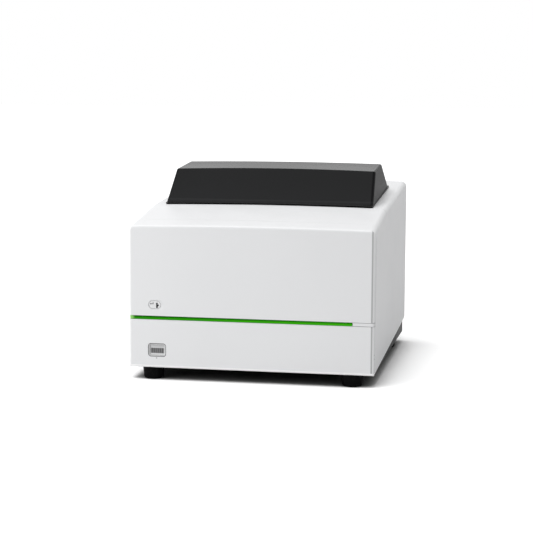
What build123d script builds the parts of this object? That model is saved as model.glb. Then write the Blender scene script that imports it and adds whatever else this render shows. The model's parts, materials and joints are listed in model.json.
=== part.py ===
"""Bench-top microplate reader: moulded casing, hinged hood over the optics, plate conveyor behind a drop door.

Millimetres, +Z up. The origin is on the bench, midway between the casing's sides and ends.
The front faces -Y, so the plate carrier comes out along -Y.
"""
from build123d import *
import os
from math import atan2, cos, hypot, radians, sin, sqrt

os.makedirs("parts", exist_ok=True)

# ---------------------------------------------------------------- casing
width = 505.0                # over the side panels
depth = 590.0                # front face to rear panel
foot_height = 24.0           # bench to the underside of the tray
front_height = 316.0         # bench to the front top edge
crease_setback = 184.0       # front face to the crease where the top changes slope
crease_height = 344.5        # bench to the top's edge at the crease
rear_height = 377.5          # bench to the top's edge at the rear
side_rear_lift = 30.0        # how far the side panels' lower edge rises towards the rear
crown = 3.0                  # rise of the arched tops at the middle of the width
panel_wall = 4.0             # moulded panels
edge_radius = 11.0           # long top edges
front_edge_radius = 5.0      # edges round the front face
rear_edge_radius = 9.0       # rear edge of the top
rear_rim_wall = 12.0         # thicker rear end of the top, which carries that rounding
rear_rim_depth = 12.0
side_edge_radius = 3.5       # side panels' rear and lower edges
cover_skirt = 15.0           # how far the top covers come down the sides
panel_gap = 0.5              # seam between neighbouring panels
overshoot = 2.0              # extra length that a later cut trims off
front_flap = 48.0            # how far the front panel folds back over the top
flap_corner_radius = 48.0    # its corners in plan
flap_margin = 4.0            # how far outside the casing the corners start to turn
seam_foot_setback = 4.0      # front face to the side seam at the panels' lower edge

front = -depth / 2
rear = depth / 2
half_width = width / 2
inner_half = half_width - panel_wall
crease_y = front + crease_setback
front_slope = (crease_height - front_height) / crease_setback
rear_slope = (rear_height - crease_height) / (depth - crease_setback)
flap_tangent = sqrt(flap_corner_radius**2 - (flap_corner_radius - flap_margin)**2)
seam_top_setback = front_flap - flap_corner_radius + flap_tangent
seam_top_z = front_height + seam_top_setback * front_slope - cover_skirt

# ---------------------------------------------------------------- light strip and door
strip_bottom = 124.0         # top of the drop door
strip_height = 8.0           # channel between the door and the upper panel
strip_end_inset = 44.5       # casing side to the right end of the green strip
strip_recess = 1.4           # face of the strip behind the front face
strip_clearance = 0.6        # above and below the strip
strip_end_radius = 2.8       # corners of the strip's right end
rib_half_height = 3.2        # raised rib that carries the channel on round the corner
rib_recess = 0.4             # face of the rib behind the front face
trim_depth = 8.0             # trim bar, front to back
door_bottom_gap = 1.0        # door edge above the tray's underside
door_hinge_setback = 6.0     # hinge axis behind the front face
door_hinge_rise = 6.5        # hinge axis above the door's lower edge
door_barrel_radius = 6.0
door_edge_radius = 3.8       # rounding of the door's outer edges
door_ribs = 6                # upright stiffeners behind the door
door_rib_inset = 13.5        # casing's inner side to the outermost stiffener
door_pin_radius = 1.5
door_pin_length = 56.0
door_hinge_inset = 102.5     # casing side to each door hinge's middle
door_ear_radius = 3.0
door_ear_width = 12.0
running_clearance = 0.05     # radial, pins and shafts in their bores
part_clearance = 0.5         # between pieces that pass each other

strip_right = half_width - strip_end_inset
strip_top = strip_bottom + strip_height
door_bottom = foot_height + door_bottom_gap
door_hinge_x = half_width - door_hinge_inset
door_axis_y = front + door_hinge_setback
door_axis_z = door_bottom + door_hinge_rise
door_heel_reach = hypot(door_hinge_setback - door_edge_radius, door_hinge_rise - door_edge_radius)
door_heel = door_heel_reach + door_edge_radius

# ---------------------------------------------------------------- tray, frame and feet
sheet = 2.0                  # tray and brackets
tray_setback = 14.0          # front face to the tray's front wall
tray_wall_height = 50.0
tray_front_wall = 12.0
rear_panel_wall = 3.0
rear_panel_inset = 1.0       # its face ahead of the side panels' rear edges
screw_head_radius = 4.0
screw_side_inset = 12.0
screw_end_inset = 25.75
foot_radius = 22.5
foot_taper = 2.0
foot_edge = 5.0              # rounding of the foot's sole
foot_dimple = 8.0            # radius of the screw dimple in the sole
foot_dimple_depth = 3.0
front_foot_inset = 46.5      # casing side to a foot's middle
front_foot_setback = 23.0
rear_foot_inset = 33.0
rear_foot_margin = 98.0      # casing rear to a foot's middle
frame_plate = 6.0            # upright frame plates
frame_inset = 14.5           # casing side to a frame plate
frame_front_setback = 50.0
frame_rear_margin = 70.0     # casing rear to the frame plates
deck_underside = 180.0
deck_thickness = 8.0
crossbar_depth = 20.0

front_foot_x = half_width - front_foot_inset
rear_foot_x = half_width - rear_foot_inset
rear_foot_setback = depth - rear_foot_margin
frame_half = half_width - frame_inset
frame_rear_setback = depth - frame_rear_margin
floor_z = foot_height + sheet
tray_front = front + tray_setback
panel_rear = rear - rear_panel_inset
tray_rear = panel_rear - rear_panel_wall
deck_top = deck_underside + deck_thickness
trim_front = front + panel_wall
trim_rear = trim_front + trim_depth

# ---------------------------------------------------------------- power switch and load button
switch_inset = 59.0          # casing side to the switch's middle
switch_z = 61.3
switch_window = (38.5, 28.5)     # opening in the door
switch_bezel = (40.0, 30.0)
switch_pocket = (33.0, 24.0)
rocker_size = (30.8, 21.4)
rocker_face_setback = 2.8        # rocker face behind the front face
rocker_depth = 9.2
rocker_pin_radius = 1.5
rocker_axis_setback = 10.0
button_z = 154.7
button_window = (33.0, 19.0)     # shallow pill-shaped pocket
button_cap = (25.0, 15.0)
button_inset = 57.7          # casing side to the pocket's middle
button_cap_shift = -3.3          # cap is left of the pocket's middle
button_pocket_depth = 1.2

switch_x = switch_inset - half_width
button_x = button_inset - half_width

# ---------------------------------------------------------------- hood over the optics bay
hood_rear_margin = 105.0     # casing rear to the hood's foot
hood_front_run = 78.0        # how far the front slants back, foot to top
hood_rear_run = 99.0
hood_height = 71.5           # top front edge above the crease
hood_side_margin = 29.2      # casing side to the hood's foot
hood_side_lean = 4.6         # how far each end leans in
hood_crown = 4.0
hood_wall = 3.5
hood_corner = 7.0
hood_edge = 5.0
hood_gap = 0.8               # above the top cover
hood_overrun_share = 1.25    # the slanted walls run past the arched top that trims them
hood_overrun = 60.0          # trimming solids start this far ahead of the hood
rim_height = 3.0             # lip round the foot of the hood
rim_proud = 0.8
bay_side_inset = 26.5        # hood's foot to the opening in the top cover
bay_front_inset = 24.0
bay_rear_inset = 33.0
bay_corner = 6.0
coaming_wall = 3.0
coaming_height = 6.0
seal_width = 6.0
seal_height = 4.0
hinge_inset = 72.5           # hood's end to each hinge's middle
hinge_offset = 5.0           # hinge axis behind the hood's foot
hinge_rise = 5.0             # hinge axis above the top cover
hinge_knuckle_radius = 4.0
hinge_pin_radius = 1.5
hinge_knuckle = 12.0         # middle knuckle's length
hinge_leaf = 12.0            # each outer knuckle's length

hood_base_front = crease_setback
hood_base_rear = depth - hood_rear_margin
hood_top_front = hood_base_front + hood_front_run
hood_top_rear = hood_base_rear - hood_rear_run
hood_top_front_z = crease_height + hood_height
hood_base_half = half_width - hood_side_margin
hood_top_half = hood_base_half - hood_side_lean
bay_half = hood_base_half - bay_side_inset
bay_front_setback = hood_base_front + bay_front_inset
bay_rear_setback = hood_base_rear - bay_rear_inset
hinge_x = hood_base_half - hinge_inset
hinge_setback = hood_base_rear + hinge_offset

# ---------------------------------------------------------------- plate conveyor
rail_x = 110.0
rail_z = 62.0
rail_radius = 6.0
rail_front_setback = 30.0
rail_rear_margin = 108.0     # casing rear to the rails' rear ends
rail_block = (24.0, 14.0)    # width and length along the rail
carriage_margin = 205.0      # casing rear to the carriage's front edge
carriage_length = 80.0
carriage_half = 130.0
carriage_plate_z = 74.0
carriage_plate = 6.0
bushing_radius = 10.0
bushing_length = 24.0
saddle_width = 26.0
cross_rod_radius = 4.0
cross_rod_z = 92.0
cross_rod_inset = 20.0       # from the carriage's ends along Y
slider_half = 40.0
slider_inset = 8.0
slider_bottom = 84.0
slider_top = 100.0
nest_overhang = 95.0         # carriage's front edge to the nest's middle
nest_outer = (140.0, 100.0)
nest_plate = (128.0, 86.0)   # pocket for a standard microplate
nest_ledge = 5.0
nest_top = 94.0
nest_floor = 2.5
belt_offset = 20.0           # carriage's side to the belt
belt_z = 50.0
belt_width = 6.0
belt_thickness = 1.5
pulley_radius = 10.0
pulley_width = 8.0
pulley_shaft_radius = 2.5
drive_pulley_margin = 120.0  # casing rear to the drive pulley's axis
idler_pulley_setback = 60.0
motor_size = 42.0
motor_length = 40.0

carriage_front_setback = depth - carriage_margin
nest_centre_setback = carriage_front_setback - nest_overhang
rail_rear_setback = depth - rail_rear_margin
drive_pulley_setback = depth - drive_pulley_margin
belt_x = -carriage_half - belt_offset
carriage_front = front + carriage_front_setback
carriage_rear = carriage_front + carriage_length

# ---------------------------------------------------------------- optics on the deck
optical_axis_lead = 32.0     # optical axis ahead of the resting nest's middle
turret_radius = 58.0
turret_offset = 34.0         # turret axis behind the optical axis
turret_disc_z = 200.0
turret_disc = 6.0
turret_shaft_radius = 6.0
turret_bearing_radius = 15.0
module_side = 34.0
module_height = 66.0
module_count = 4
objective_radius = 17.0
objective_bottom = 112.0
slide_x = 78.0
slide_thickness = 10.0
slide_length = 140.0
slide_bottom = 200.5
slide_height = 56.0
filter_count = 6
filter_pitch = 22.0
filter_radius = 9.0
filter_z = 236.0
guide_wall = 4.0
guide_length = 150.0
guide_top = 218.0
lamp_size = (94.0, 76.0, 106.0)
lamp_fins = 7
detector_radius = 26.0
detector_length = 86.0
laser_size = (94.0, 84.0, 96.0)

optical_y = front + nest_centre_setback - optical_axis_lead
turret_y = optical_y + turret_offset

# ---------------------------------------------------------------- rear services
fan_inset = 112.5            # casing side to the fan's middle
fan_z = 230.0
fan_size = 80.0
fan_depth = 25.0
fan_bore = 37.0
fan_hub = 14.0
fan_blades = 7
inlet_inset = 72.5
inlet_z = 110.0
inlet_body = (30.0, 22.0)
inlet_flange = (50.0, 26.0)
inlet_mouth = (24.6, 17.0)
inlet_depth = 15.0
supply_size = (130.0, 96.0, 92.0)
board_size = (160.0, 84.0)

fan_x = half_width - fan_inset
inlet_x = inlet_inset - half_width


def finish(piece, node):
    """Label a piece and write it to its own file."""
    piece.part.label = node
    export_step(piece.part, f"parts/{node}.step")


def block(x, y, z, mode=Mode.ADD):
    """A block between two limits along each axis."""
    middle = ((x[0] + x[1]) / 2, (y[0] + y[1]) / 2, (z[0] + z[1]) / 2)
    with Locations(middle):
        Box(x[1] - x[0], y[1] - y[0], z[1] - z[0], mode=mode)


def along_y(x, z, y_start, y_end, radius, mode=Mode.ADD):
    """A round bar or bore along Y."""
    with Locations(Location((x, (y_start + y_end) / 2, z), (90, 0, 0))):
        Cylinder(radius, y_end - y_start, mode=mode)


def along_x(y, z, x_start, x_end, radius, mode=Mode.ADD):
    """A round bar or bore along X."""
    with Locations(Location(((x_start + x_end) / 2, y, z), (0, 90, 0))):
        Cylinder(radius, x_end - x_start, mode=mode)


def top_height(y):
    """Height of the casing's top edge, before the crown."""
    slope = front_slope if y < crease_y else rear_slope
    return crease_height + (y - crease_y) * slope


def seam_y(z):
    """The side seam, which leans forward towards its foot."""
    rise = (z - foot_height) / (seam_top_z - foot_height)
    return front + seam_foot_setback + (seam_top_setback - seam_foot_setback) * rise


def arched_face(half, bottom, shoulder, rise, radius):
    """Upright section of the casing: straight sides, rounded shoulders, arched top."""
    with BuildSketch() as section:
        with BuildLine():
            Polyline((half, shoulder), (half, bottom), (-half, bottom), (-half, shoulder))
            ThreePointArc((-half, shoulder), (0, shoulder + rise), (half, shoulder))
        make_face()
        fillet(section.vertices().group_by(Axis.Y)[-1], radius)
    return section.sketch


def casing_mass(inset, y, slope, reach, floor=0.0, rise=0.0):
    """Solid under a sloping arched top, between two upright planes and drawn in from the casing.

    It goes down from the shoulders by the reach, and the rise lifts its top."""
    middle = (y[0] + y[1]) / 2
    shoulder = crease_height + (middle - crease_y) * slope
    across = Plane(origin=(0, middle, shoulder), x_dir=(1, 0, 0), z_dir=(0, -1, -slope))
    upright = hypot(1, slope)
    with BuildPart() as mass:
        with BuildSketch(across):
            add(arched_face(half_width - inset, -reach / upright, rise / upright - inset, crown,
                            edge_radius - inset))
        extrude(amount=depth, both=True)
        with BuildSketch(Plane.YZ):
            with Locations((middle, floor + rear_height)):
                Rectangle(y[1] - y[0], 2 * rear_height)
        extrude(amount=width, both=True, mode=Mode.INTERSECT)
    return mass.part


def flap_outline(grow):
    """Plan of the front panel's flap, with rounded rear corners."""
    back = front + front_flap + grow
    edge_x = half_width + flap_margin
    with BuildSketch() as outline:
        with BuildLine():
            Polyline((edge_x, back), (edge_x, front - 1), (-edge_x, front - 1), (-edge_x, back),
                     (edge_x, back))
        make_face()
        fillet(outline.vertices().group_by(Axis.Y)[-1], flap_corner_radius)
    return outline.sketch


# ================================================================ casing panels
def make_front_panel_upper():
    flap_y = front + front_flap + overshoot
    outer = casing_mass(0, (front, flap_y), front_slope, rear_height, strip_top)
    core = casing_mass(panel_wall, (front + panel_wall, flap_y + 1), front_slope, rear_height)
    with BuildPart() as front_panel_upper:
        add(outer)
        face = front_panel_upper.faces().sort_by(Axis.Y)[0]
        low_edge = face.edges().sort_by(Axis.Z)[0]
        fillet([edge for edge in face.edges() if edge != low_edge], front_edge_radius)
        add(core, mode=Mode.SUBTRACT)
        with BuildSketch():
            add(flap_outline(0))
        extrude(amount=2 * rear_height, mode=Mode.INTERSECT)
        with BuildSketch(Plane.YZ):
            with BuildLine():
                Polyline((seam_y(foot_height), foot_height), (seam_y(seam_top_z), seam_top_z),
                         (flap_y + 2, top_height(flap_y + 2) - cover_skirt), (flap_y + 2, foot_height),
                         (seam_y(foot_height), foot_height))
            make_face()
        extrude(amount=width, both=True, mode=Mode.SUBTRACT)
        with BuildSketch(Plane.XZ.offset(-front - button_pocket_depth)):
            with Locations((button_x, button_z)):
                SlotOverall(*button_window)
        extrude(amount=button_pocket_depth + 1, mode=Mode.SUBTRACT)
        with BuildSketch(Plane.XZ.offset(-front - panel_wall - 1)):
            with Locations((button_x + button_cap_shift, button_z)):
                SlotOverall(button_cap[0] + 2 * part_clearance, button_cap[1] + 2 * part_clearance)
        extrude(amount=panel_wall + 2, mode=Mode.SUBTRACT)
    finish(front_panel_upper, "front_panel_upper")


def make_front_top_cover():
    outer = casing_mass(0, (front + 1, crease_y), front_slope, cover_skirt)
    core = casing_mass(panel_wall, (front, crease_y + 1), front_slope, rear_height)
    with BuildPart() as front_top_cover:
        add(outer)
        add(core, mode=Mode.SUBTRACT)
        with BuildSketch():
            add(flap_outline(panel_gap))
        extrude(amount=2 * rear_height, mode=Mode.SUBTRACT)
    finish(front_top_cover, "front_top_cover")


def slanted_plane(setback):
    """Plane along the rear top's edge lines, centred a given setback behind the front."""
    y = front + setback
    return Plane(origin=(0, y, top_height(y)), x_dir=(1, 0, 0), z_dir=(0, -rear_slope, 1))


def make_rear_top_cover():
    bay_middle = (bay_front_setback + bay_rear_setback) / 2
    bay_length = (bay_rear_setback - bay_front_setback) * hypot(1, rear_slope)
    bay_plane = slanted_plane(bay_middle)
    outer = casing_mass(0, (crease_y, rear), rear_slope, cover_skirt)
    core = casing_mass(panel_wall, (crease_y - 1, rear - rear_rim_depth), rear_slope, rear_height)
    rim_core = casing_mass(panel_wall, (rear - rear_rim_depth - 1, rear + 1), rear_slope, rear_height, 0,
                           panel_wall - rear_rim_wall)
    with BuildPart() as rear_top_cover:
        add(outer)
        back_face = rear_top_cover.faces().sort_by(Axis.Y)[-1]
        fillet(back_face.edges().sort_by(Axis.Z)[-1], rear_edge_radius)
        add(core, mode=Mode.SUBTRACT)
        add(rim_core, mode=Mode.SUBTRACT)
        with BuildSketch(bay_plane.offset(-1)):
            RectangleRounded(2 * (bay_half + coaming_wall), bay_length + 2 * coaming_wall,
                             bay_corner + coaming_wall)
        extrude(amount=1 + crown + coaming_height)
        with BuildSketch(bay_plane.offset(-3 * panel_wall)):
            RectangleRounded(2 * bay_half, bay_length, bay_corner)
        extrude(amount=5 * panel_wall + coaming_height, mode=Mode.SUBTRACT)
    finish(rear_top_cover, "rear_top_cover")


def make_side_panel(node, side):
    start_top = seam_y(seam_top_z) + panel_gap
    start_low = seam_y(foot_height) + panel_gap
    with BuildPart() as side_panel:
        with BuildSketch(Plane.YZ.offset(side * half_width)):
            with BuildLine():
                Polyline((start_low, foot_height), (start_top, top_height(start_top) - cover_skirt),
                         (crease_y, crease_height - cover_skirt), (rear, rear_height - cover_skirt),
                         (rear, foot_height + side_rear_lift), (start_low, foot_height))
            make_face()
        extrude(amount=-side * panel_wall)
        outer_face = side_panel.faces().filter_by(Axis.X).sort_by(Axis.X)[-1 if side > 0 else 0]
        rear_edge = outer_face.edges().sort_by(Axis.Y)[-1]
        low_edge = outer_face.edges().sort_by(Axis.Z)[0]
        fillet([rear_edge, low_edge], side_edge_radius)
        along_x(door_axis_y, door_axis_z, side * half_width - 2 * panel_wall, side * half_width + 2 * panel_wall,
                door_heel + part_clearance, Mode.SUBTRACT)
    finish(side_panel, node)


def make_rear_panel():
    sheet_mass = casing_mass(panel_wall, (tray_rear, panel_rear), rear_slope, rear_height,
                             foot_height + side_rear_lift, panel_wall - rear_rim_wall)
    with BuildPart() as rear_panel:
        add(sheet_mass)
        with BuildSketch(Plane.XZ.offset(-panel_rear)):
            with Locations((fan_x, fan_z)):
                with PolarLocations(fan_bore * 0.72, 12):
                    SlotOverall(fan_bore * 0.4, 5)
            with Locations((inlet_x, inlet_z)):
                Rectangle(inlet_body[0], inlet_body[1])
            with Locations((-60, fan_z)):
                with GridLocations(56, 11, 2, 8):
                    SlotOverall(46, 5)
        extrude(amount=2 * rear_panel_wall, both=True, mode=Mode.SUBTRACT)
    finish(rear_panel, "rear_panel")


def make_rear_panel_screws():
    spacing = (2 * (inner_half - screw_side_inset),
               rear_height - foot_height - side_rear_lift - 2 * screw_end_inset)
    with BuildPart() as rear_panel_screws:
        with BuildSketch(Plane.XZ.offset(-panel_rear)):
            with Locations((0, (foot_height + side_rear_lift + rear_height) / 2)):
                with GridLocations(*spacing, 2, 2):
                    Circle(screw_head_radius)
        extrude(amount=-rear_panel_inset)
    finish(rear_panel_screws, "rear_panel_screws")


# ================================================================ door, light strip and controls
def make_plate_door():
    seam_low = seam_y(door_bottom)
    seam_high = seam_y(strip_bottom)
    rib_pitch = 2 * (inner_half - door_rib_inset) / (door_ribs - 1)
    with BuildPart() as plate_door:
        with BuildSketch(Plane.YZ):
            with BuildLine():
                Polyline((front, door_bottom), (seam_low, door_bottom), (seam_high, strip_bottom),
                         (front, strip_bottom), (front, door_bottom))
            make_face()
        extrude(amount=half_width, both=True)
        outer = plate_door.faces().sort_by(Axis.Y)[0]
        low_edge = outer.edges().sort_by(Axis.Z)[0]
        upright = outer.edges().filter_by(Axis.Z)
        fillet([low_edge] + list(upright), door_edge_radius)
        block((-inner_half, inner_half), (front + panel_wall, front + 2 * seam_top_setback),
              (0, strip_bottom + 1), Mode.SUBTRACT)
        along_x(door_axis_y, door_axis_z, -inner_half, inner_half, door_barrel_radius)
        with BuildSketch(Plane.XZ.offset(-front - panel_wall)):
            with Locations((0, (door_axis_z + strip_bottom) / 2)):
                with GridLocations(rib_pitch, 0, door_ribs, 1):
                    Rectangle(3, strip_bottom - door_axis_z - 8)
        extrude(amount=-4)
        with BuildSketch(Plane.XZ.offset(-front + 1)):
            with Locations((switch_x, switch_z)):
                RectangleRounded(*switch_window, 6)
        extrude(amount=-4 * panel_wall, mode=Mode.SUBTRACT)
        for x in (-door_hinge_x, door_hinge_x):
            along_x(door_axis_y, door_axis_z, x - door_pin_length / 2 - 1, x + door_pin_length / 2 + 1,
                    door_pin_radius + running_clearance, Mode.SUBTRACT)
            notch = door_ear_width / 2 + part_clearance
            block((x - notch, x + notch), (door_axis_y - door_ear_radius - part_clearance, front + 20),
                  (0, door_axis_z + door_ear_radius + part_clearance), Mode.SUBTRACT)
    finish(plate_door, "plate_door")


def make_door_hinge_brackets():
    with BuildPart() as door_hinge_brackets:
        for x in (-door_hinge_x, door_hinge_x):
            half = door_ear_width / 2
            along_x(door_axis_y, door_axis_z, x - half, x + half, door_ear_radius)
            block((x - half, x + half), (door_axis_y, tray_front),
                  (door_axis_z - door_ear_radius, door_axis_z + door_ear_radius))
            along_x(door_axis_y, door_axis_z, x - half, x + half, door_pin_radius, Mode.SUBTRACT)
    finish(door_hinge_brackets, "door_hinge_brackets")


def make_door_hinge_pins():
    with BuildPart() as door_hinge_pins:
        for x in (-door_hinge_x, door_hinge_x):
            half = door_pin_length / 2
            along_x(door_axis_y, door_axis_z, x - half, x + half, door_pin_radius)
    finish(door_hinge_pins, "door_hinge_pins")


def make_strip_trim():
    middle = (strip_bottom + strip_top) / 2
    step = part_clearance + panel_gap
    side_face = half_width - rib_recess
    rib_z = (middle - rib_half_height, middle + rib_half_height)
    with BuildPart() as rib:
        block((strip_right + 1, side_face), (front + rib_recess, trim_front + step), rib_z)
        block((inner_half - 1, side_face), (front + rib_recess, seam_y(rib_z[0]) - part_clearance), rib_z)
        corner = rib.edges().filter_by(Axis.Z).sort_by(Axis.X).sort_by(Axis.Y)[0:2].sort_by(Axis.X)[-1]
        fillet(corner, front_edge_radius - rib_recess)
    with BuildPart() as strip_trim:
        with BuildSketch(Plane.YZ):
            with BuildLine():
                Polyline((trim_front, strip_top), (trim_front + step, strip_top),
                         (trim_front + step, strip_bottom - 4), (trim_rear, strip_bottom - 4),
                         (trim_rear, strip_top + 8), (trim_front, strip_top + 8), (trim_front, strip_top))
            make_face()
        extrude(amount=inner_half, both=True)
        add(rib.part)
    finish(strip_trim, "strip_trim")


def make_light_strip():
    step = part_clearance + panel_gap
    side_face = -half_width + strip_recess
    strip_z = (strip_bottom + strip_clearance, strip_top - strip_clearance)
    with BuildPart() as light_strip:
        block((side_face, strip_right), (front + strip_recess, trim_front + step), strip_z)
        strip_y = (front + strip_recess, seam_y(strip_bottom) - part_clearance)
        block((side_face, -inner_half), strip_y, strip_z)
        upright = light_strip.edges().filter_by(Axis.Z)
        fillet(upright.sort_by(Axis.Y)[0:2].sort_by(Axis.X)[0], front_edge_radius - strip_recess)
        fillet(light_strip.edges().filter_by(Axis.Y).sort_by(Axis.X)[-2:], strip_end_radius)
    finish(light_strip, "light_strip")


def make_power_switch_body():
    flange_y = (front + 6, front + 16)
    with BuildPart() as power_switch_body:
        with BuildSketch(Plane.XZ.offset(-flange_y[0])):
            with Locations((switch_x, switch_z)):
                RectangleRounded(*switch_bezel, 6)
        extrude(amount=flange_y[0] - flange_y[1])
        with BuildSketch(Plane.XZ.offset(-flange_y[1])):
            with Locations((switch_x, switch_z)):
                Rectangle(switch_bezel[0] - 6, switch_bezel[1] - 6)
        extrude(amount=-24)
        with BuildSketch(Plane.XZ.offset(-flange_y[0])):
            with Locations((switch_x, switch_z)):
                RectangleRounded(*switch_pocket, 3)
        extrude(amount=-8.5, mode=Mode.SUBTRACT)
        block((switch_x - 24, switch_x + 24), (flange_y[1], flange_y[1] + sheet),
              (floor_z, switch_z + switch_bezel[1] / 2 + 4))
        along_x(front + rocker_axis_setback, switch_z, switch_x - switch_pocket[0] / 2 - 1,
                switch_x + switch_pocket[0] / 2 + 1, rocker_pin_radius)
    finish(power_switch_body, "power_switch_body")


def make_power_rocker():
    half_x = rocker_size[0] / 2
    half_z = rocker_size[1] / 2
    face_y = front + rocker_face_setback
    with BuildPart() as power_rocker:
        with BuildSketch(Plane.YZ.offset(switch_x)):
            with BuildLine():
                ThreePointArc((face_y, switch_z - half_z), (face_y + 1.2, switch_z),
                              (face_y, switch_z + half_z))
                Polyline((face_y, switch_z + half_z), (face_y + rocker_depth, switch_z + half_z - 2),
                         (face_y + rocker_depth, switch_z - half_z + 2), (face_y, switch_z - half_z))
            make_face()
        extrude(amount=half_x, both=True)
        fillet(power_rocker.edges().filter_by(Axis.Y, tolerance=20).group_by(Axis.Y)[0], 1.5)
        along_x(front + rocker_axis_setback, switch_z, switch_x - 20, switch_x + 20,
                rocker_pin_radius + running_clearance,
                Mode.SUBTRACT)
        with BuildSketch(Plane.XZ.offset(-face_y + 1)):
            with Locations((switch_x, switch_z - 1.5)):
                with GridLocations(4.4, 0, 6, 1):
                    Rectangle(1.6, 10)
        extrude(amount=-3.2, mode=Mode.SUBTRACT)
    finish(power_rocker, "power_rocker")


def make_load_button():
    with BuildPart() as load_button:
        with BuildSketch(Plane.XZ.offset(-front - 0.4)):
            with Locations((button_x + button_cap_shift, button_z)):
                SlotOverall(*button_cap)
        extrude(amount=-(panel_wall + 0.2))
        fillet(load_button.faces().sort_by(Axis.Y)[0].edges(), 0.8)
        with BuildSketch(Plane.XZ.offset(-front - panel_wall - 0.2)):
            with Locations((button_x + button_cap_shift, button_z)):
                SlotOverall(button_cap[0] + 5, button_cap[1] + 5)
        extrude(amount=-1.5)
    finish(load_button, "load_button")


def make_button_board():
    middle = button_x + button_cap_shift
    with BuildPart() as button_board:
        block((middle - 28, middle + 28), (trim_rear - 1.6, trim_rear), (button_z - 12, button_z + 12))
        block((middle - 4, middle + 4), (trim_rear - 3.4, trim_rear), (button_z - 4, button_z + 4))
    finish(button_board, "button_board")


# ================================================================ hood
def hood_solid(inset):
    """The hood's closed form: slanted walls under an arched top, drawn in by the inset."""
    y0, y1, y2, y3 = [front + setback for setback in
                      (hood_base_front, hood_top_front, hood_top_rear, hood_base_rear)]
    z0 = top_height(y0)
    z3 = top_height(y3)
    z1 = hood_top_front_z
    z2 = z1 + (y2 - y1) * rear_slope
    front_inset = inset * hypot(y1 - y0, z1 - z0) / (z1 - z0)
    rear_inset = inset * hypot(y3 - y2, z2 - z3) / (z2 - z3)
    tall = hood_overrun_share
    lean = atan2(hood_base_half - hood_top_half, z1 - z0)
    square_to_slope = Plane(origin=(0, y0 - hood_overrun, z0 - hood_overrun * rear_slope),
                            x_dir=(1, 0, 0), z_dir=(0, -1, -rear_slope))
    with BuildPart() as solid:
        with BuildSketch(Plane.YZ):
            with BuildLine():
                Polyline((y0 + front_inset, z0), (y0 + front_inset + (y1 - y0) * tall, z0 + (z1 - z0) * tall),
                         (y3 - rear_inset - (y3 - y2) * tall, z3 + (z2 - z3) * tall), (y3 - rear_inset, z3),
                         (y0 + front_inset, z0))
            make_face()
        extrude(amount=half_width, both=True)
        for side in (-1, 1):
            end = Plane(origin=(side * (hood_base_half - inset), 0, z0),
                        z_dir=(side * cos(lean), 0, sin(lean)))
            split(bisect_by=end, keep=Keep.BOTTOM)
        corners = [edge for edge in solid.edges() if edge.length < 1.3 * hypot(y3 - y2, z2 - z3) * tall
                   and abs(edge.tangent_at(0).Z) > 0.4]
        fillet(corners, hood_corner)
        with BuildSketch(square_to_slope):
            shoulder = z1 - z0 - (y1 - y0) * rear_slope - inset
            add(arched_face(half_width, -hood_overrun, shoulder, hood_crown, 1))
        extrude(amount=-depth, mode=Mode.INTERSECT)
    return solid


def cover_mass(rise):
    """Everything below the rear top surface raised by a given amount."""
    return casing_mass(0, (crease_y - hood_overrun, rear + hood_overrun), rear_slope, rear_height, 0, rise)


def make_optics_hood():
    outer = hood_solid(0)
    inner = hood_solid(hood_wall)
    below = cover_mass(hood_gap)
    rim_top = cover_mass(hood_gap + rim_height)
    rim_length = (hood_base_rear - hood_base_front) * hypot(1, rear_slope)
    with BuildPart() as optics_hood:
        add(outer.part)
        top_face = optics_hood.faces().sort_by(Axis.Z)[-1]
        fillet(top_face.edges(), hood_edge)
        add(inner.part, mode=Mode.SUBTRACT)
        add(below, mode=Mode.SUBTRACT)
    with BuildPart() as rim:
        with BuildSketch(slanted_plane((hood_base_front + hood_base_rear) / 2)):
            RectangleRounded(2 * hood_base_half, rim_length, hood_corner)
            RectangleRounded(2 * (hood_base_half - hood_wall), rim_length - 2 * hood_wall,
                             hood_corner - hood_wall, mode=Mode.SUBTRACT)
        extrude(amount=3 * rim_height)
        add(rim_top, mode=Mode.INTERSECT)
        add(below, mode=Mode.SUBTRACT)
    with BuildPart() as whole:
        add(optics_hood.part)
        add(rim.part)
    finish(whole, "optics_hood")


def hinge_axis():
    y = front + hinge_setback
    rise = crown * (1 - (hinge_x / half_width) ** 2)
    return y, top_height(y) + rise + hinge_rise


def make_hood_hinge_leaves():
    """Arms fixed to the hood's rear wall, each with two outer knuckles."""
    y, z = hinge_axis()
    reach = hood_base_rear - hood_top_rear
    top_rear_z = hood_top_front_z + (hood_top_rear - hood_top_front) * rear_slope
    drop = top_rear_z - top_height(front + hood_base_rear)
    lean = reach / drop
    foot_y = front + hood_base_rear
    foot_z = top_height(foot_y)
    with BuildPart() as hood_hinge_leaves:
        for centre in (-hinge_x, hinge_x):
            for side in (-1, 1):
                inner_x = centre + side * (hinge_knuckle / 2 + part_clearance)
                outer_x = inner_x + side * hinge_leaf
                low_x, high_x = sorted((inner_x, outer_x))
                with BuildSketch(Plane.YZ.offset(low_x)):
                    with BuildLine():
                        Polyline((foot_y - lean * 9, foot_z + 9), (foot_y - lean * 22, foot_z + 22),
                                 (y, z + hinge_knuckle_radius), (y, z + 0.5),
                                 (foot_y - lean * 9, foot_z + 9))
                    make_face()
                extrude(amount=high_x - low_x)
                along_x(y, z, low_x, high_x, hinge_knuckle_radius)
                along_x(y, z, low_x - 1, high_x + 1, hinge_pin_radius, Mode.SUBTRACT)
    finish(hood_hinge_leaves, "hood_hinge_leaves")


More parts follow.
